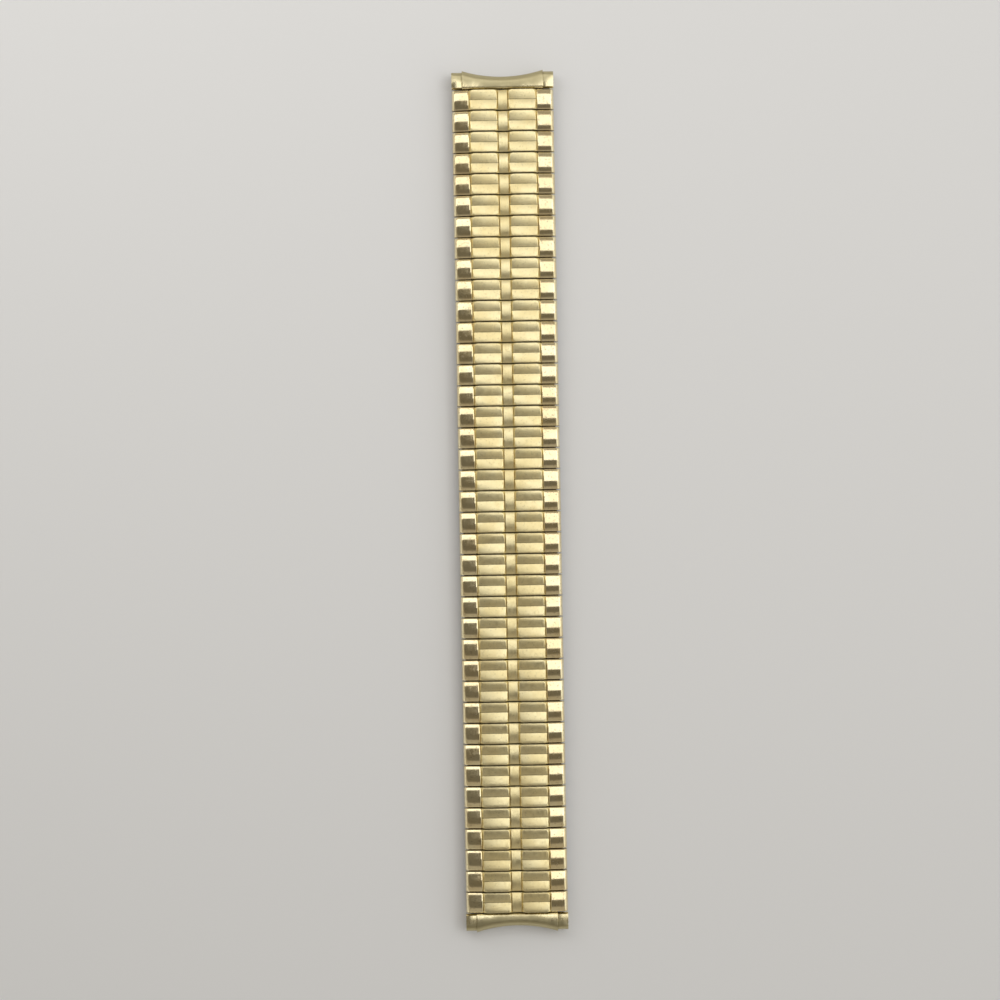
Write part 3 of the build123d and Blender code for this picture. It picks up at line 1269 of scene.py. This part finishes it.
bpy.ops.object.select_all(action="DESELECT")
bpy.ops.mesh.primitive_plane_add(size=floor_size)
floor = bpy.context.object
floor.name = "floor"
floor_paint = bpy.data.materials.new("pale_floor")
floor_paint.use_nodes = True
paint = floor_paint.node_tree
lit = paint.nodes["Principled BSDF"]
lit.inputs["Base Color"].default_value = (*floor_colour, 1)
lit.inputs["Roughness"].default_value = floor_roughness
on_floor = paint.nodes.new("ShaderNodeTexCoord")
from_middle = paint.nodes.new("ShaderNodeVectorMath")
from_middle.operation = "LENGTH"
paint.links.new(on_floor.outputs["Object"], from_middle.inputs[0])
ray = paint.nodes.new("ShaderNodeLightPath")
far_away = spread_out(paint, from_middle.outputs["Value"], *fade_reach)
faded = calc(paint, "MULTIPLY", far_away, ray.outputs["Is Camera Ray"])
backdrop = paint.nodes.new("ShaderNodeEmission")
backdrop.inputs["Color"].default_value = (*far_colour, 1)
fade = paint.nodes.new("ShaderNodeMixShader")
paint.links.new(faded, fade.inputs[0])
paint.links.new(lit.outputs[0], fade.inputs[1])
paint.links.new(backdrop.outputs[0], fade.inputs[2])
paint.links.new(fade.outputs[0], paint.nodes["Material Output"].inputs["Surface"])
floor.data.materials.append(floor_paint)
floor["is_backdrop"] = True
print("floor", floor_size, "m, fades over", fade_reach)

# %% [markdown]
# The band was photographed from straight above, in a room with a bright window beyond its top
# end. Polished metal shows only what it mirrors, so the window matters most: a wide soft panel
# hangs beyond the top end and to the right, and a smaller one hangs nearer at the left. Both
# shine at the strength of a white wall, so the gold shows about its own colour where it mirrors
# them: that takes four watts for each square metre. They hang close, so each row mirrors
# another part of them, as in the photo.

# %% Lights
window_brightness = 0.97
watts_for_white = 4


def hang_panel(name, low, high, height):
    """A flat lamp between two corners in X and Y, in metres, that faces straight down."""
    lamp = bpy.data.lights.new(name, "AREA")
    lamp.shape = "RECTANGLE"
    lamp.size, lamp.size_y = high[0] - low[0], high[1] - low[1]
    lamp.energy = watts_for_white * window_brightness * lamp.size * lamp.size_y
    panel = bpy.data.objects.new(name, lamp)
    panel.location = ((low[0] + high[0]) / 2, (low[1] + high[1]) / 2, height)
    panel.visible_camera = False
    bpy.context.scene.collection.objects.link(panel)
    print(name, round(lamp.energy, 2), "watts")


hang_panel("window_right", low=(-0.042, -0.070), high=(0.47, 0.47), height=0.45)
hang_panel("window_left", low=(-0.42, 0.11), high=(-0.024, 0.42), height=0.25)

# %% [markdown]
# The room is what the metal mirrors beside the windows. Straight overhead it is dark, round that
# the ceiling is a dim warm tone, low down the walls are pale, and the right-hand side is bright.
# Each is a band of directions with a soft edge.

# %% The room
overhead_colour = (0.15, 0.135, 0.11)
ceiling_colour = (0.38, 0.345, 0.29)
wall_colour = (0.82, 0.81, 0.78)
bright_colour = (0.95, 0.95, 0.93)
overhead_above = (0.70, 0.80)
walls_below = (0.15, 0.45)
bright_beyond = (0.42, 0.62)

world = bpy.data.worlds.new("room")
world.use_nodes = True
room = world.node_tree
direction = room.nodes.new("ShaderNodeTexCoord")
way = split(room, direction.outputs["Generated"])
ceiling = spread_out(room, way["Z"], *overhead_above, 1.0, 0.0)
walls = spread_out(room, way["Z"], *walls_below, 1.0, 0.0)
bright_side = spread_out(room, way["X"], *bright_beyond)
mirrored = blend(room, ceiling, overhead_colour, ceiling_colour)
mirrored = blend(room, walls, mirrored, wall_colour)
mirrored = blend(room, bright_side, mirrored, bright_colour)
ray = room.nodes.new("ShaderNodeLightPath")
seen = blend(room, ray.outputs["Is Camera Ray"], mirrored, far_colour)
room.links.new(seen, room.nodes["Background"].inputs["Color"])
bpy.context.scene.world = world
print("room", len(room.nodes), "nodes")

# %% [markdown]
# The camera hangs thirty centimetres above the band and has the photo's viewing angle. It is
# turned by a degree, because the band lies a degree off the upright there.

# %% Camera
camera_height = 0.3029
camera_x, camera_y = -0.00173, 0.00021
camera_turn = math.radians(-1.03)
frame_width = 0.1763

camera = bpy.data.cameras.new("camera")
camera.angle = 2 * math.atan(frame_width / 2 / (camera_height - cap_crest * MM))
camera_object = bpy.data.objects.new("camera", camera)
camera_object.location = (camera_x, camera_y, camera_height)
camera_object.rotation_euler = (0, 0, camera_turn)
bpy.context.scene.collection.objects.link(camera_object)
bpy.context.scene.camera = camera_object
bpy.context.scene.view_settings.view_transform = "Standard"
print("viewing angle", round(math.degrees(camera.angle), 2), "degrees")

# %% Sizes
looks_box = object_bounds()
for box in (cad_box, looks_box):
    print([[round(v / MM, 3) for v in corner] for corner in box])
